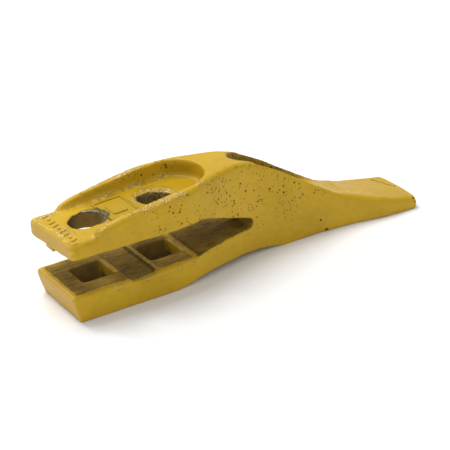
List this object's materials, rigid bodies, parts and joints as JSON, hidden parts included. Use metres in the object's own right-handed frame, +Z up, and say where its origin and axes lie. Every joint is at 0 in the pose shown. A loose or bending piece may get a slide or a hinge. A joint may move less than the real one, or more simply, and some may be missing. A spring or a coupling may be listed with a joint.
{
  "type": "excavator bucket tooth",
  "caption": "Bolt-on digging tooth with two parallel straps that clamp a bucket lip, round and square bolt holes, a rimmed nut pocket and a flared digging blade.",
  "frame": {"origin": "bottom centre of the bounding box of the whole tooth", "axes": "+X towards the digging tip, +Y to the left seen from the rear, +Z up with the tooth resting on its underside"},
  "size_m": [0.2777, 0.0632, 0.0718],
  "materials": {
    "yellow_paint": "gloss paint over a cast surface",
    "worn_seat_steel": "rough, streaked and unpainted"
  },
  "bodies": {
    "root": {"lower_strap": "yellow_paint", "rear_seat_pad": "worn_seat_steel", "front_seat_pad": "worn_seat_steel", "upper_strap": "yellow_paint", "left_rim": "yellow_paint", "right_rim": "yellow_paint", "crown": "yellow_paint", "throat_block": "yellow_paint", "nose": "yellow_paint", "digging_blade": "yellow_paint", "strap_lug": "yellow_paint", "panel_frame": "yellow_paint", "panel_pad": "yellow_paint", "cast_marks": "yellow_paint"}
  },
  "joints": []
}
